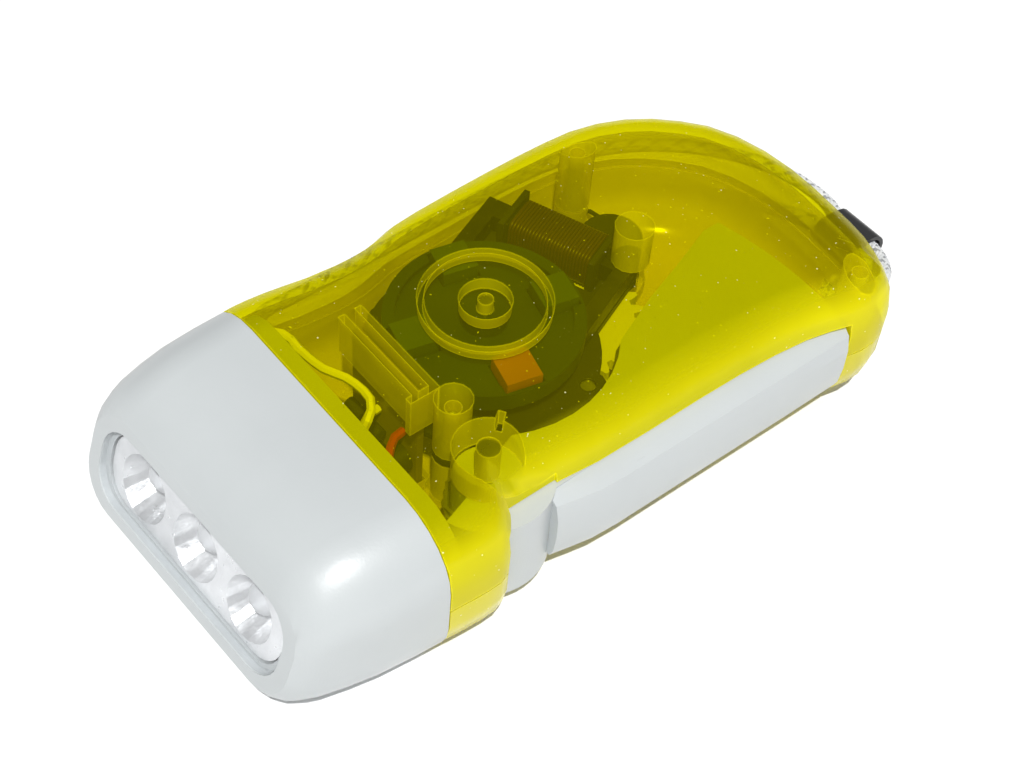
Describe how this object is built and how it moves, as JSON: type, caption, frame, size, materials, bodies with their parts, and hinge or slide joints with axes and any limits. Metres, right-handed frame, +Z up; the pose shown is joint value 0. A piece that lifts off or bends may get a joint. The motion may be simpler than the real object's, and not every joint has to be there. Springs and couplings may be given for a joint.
{
  "type": "squeeze lever dynamo flashlight",
  "caption": "Hand-powered flashlight with a clear casing that shows its gears and flywheel, a squeeze lever along one side, a slotted lamp window and a wrist strap.",
  "frame": {"origin": "centre of the casing's footprint, on the surface it lies on", "axes": "+Z up; +Y towards the tail and the strap, so the beam goes to -Y; the squeeze lever is on the +X side"},
  "size_m": [0.0611, 0.1169, 0.0252],
  "materials": {
    "casing": "glossy, translucent yellow",
    "grey": "satin light grey",
    "clear": "clear moulded plastic",
    "silvered": "vacuum-metallised plastic",
    "board": "phenolic board",
    "nylon": "moulded nylon",
    "steel": "plain steel",
    "dark_steel": "dark sintered metal",
    "black": "moulded black",
    "copper": "enamelled copper wire",
    "orange": "orange-brown block",
    "white_wire": "white insulation",
    "red_wire": "red insulation",
    "cord": "braided light grey cord"
  },
  "bodies": {
    "casing": {"upper_shell": "casing", "lower_shell": "casing", "head_bezel": "grey", "front_lens": "clear", "reflector": "silvered", "led_1": "clear", "led_2": "clear", "led_3": "clear", "lamp_board": "board", "rectifier_board": "board", "diode_1": "black", "diode_2": "black", "diode_3": "black", "diode_4": "black", "capacitor": "black", "first_axle": "steel", "second_axle": "steel", "stator_core": "dark_steel", "coil_bobbin": "black", "coil_winding": "copper", "gear_plate": "black", "shell_screw_1": "steel", "shell_screw_2": "steel", "shell_screw_3": "steel", "lever_pin": "steel", "lever_spring": "steel", "storage_cell": "black", "white_lead": "white_wire", "red_lead": "red_wire", "coil_lead_1": "copper", "coil_lead_2": "copper", "cell_lead": "black", "wrist_cord": "cord", "strap_sleeve": "black"},
    "lever": {"squeeze_lever": "grey"},
    "first_gear": {"first_gear": "nylon"},
    "second_gear": {"second_gear": "nylon"},
    "drive_pinion": {"drive_pinion": "nylon"},
    "rotor": {"flywheel": "black", "flywheel_shaft": "steel", "ring_magnet": "dark_steel", "clutch_pawl": "black", "balance_weight_1": "orange", "balance_weight_2": "steel", "balance_weight_3": "steel", "balance_weight_4": "steel"},
    "latch": {"lever_latch": "grey"}
  },
  "joints": [
    {"name": "lever_squeeze", "type": "hinge", "parent": "casing", "child": "lever", "pos_m": [0.01435, -0.01485, 0.0114], "axis": [0, 0, 1], "range_deg": [-28, 0]},
    {"name": "first_gear_spin", "type": "hinge", "parent": "casing", "child": "first_gear", "pos_m": [0.00865, 0.0064, 0.0075], "axis": [0, 0, 1], "range_deg": [0, 126]},
    {"name": "second_gear_spin", "type": "hinge", "parent": "casing", "child": "second_gear", "pos_m": [-0.00271, 0.01229, 0.0085], "axis": [0, 0, 1], "range_deg": [-278, 0]},
    {"name": "drive_pinion_spin", "type": "hinge", "parent": "casing", "child": "drive_pinion", "pos_m": [-0.004, -0.00085, 0.0125], "axis": [0, 0, 1], "range_deg": [0, 867]},
    {"name": "rotor_spin", "type": "hinge", "parent": "casing", "child": "rotor", "pos_m": [-0.004, -0.00085, 0.0185], "axis": [0, 0, 1], "continuous": true},
    {"name": "latch_slide", "type": "slide", "parent": "casing", "child": "latch", "axis": [0, -1, 0], "range_m": [0, 0.0035]}
  ],
  "couplings": [
    {"joint": "first_gear_spin", "follows": "lever_squeeze", "ratio": -4.5},
    {"joint": "second_gear_spin", "follows": "lever_squeeze", "ratio": 9.9},
    {"joint": "drive_pinion_spin", "follows": "lever_squeeze", "ratio": -30.938}
  ]
}
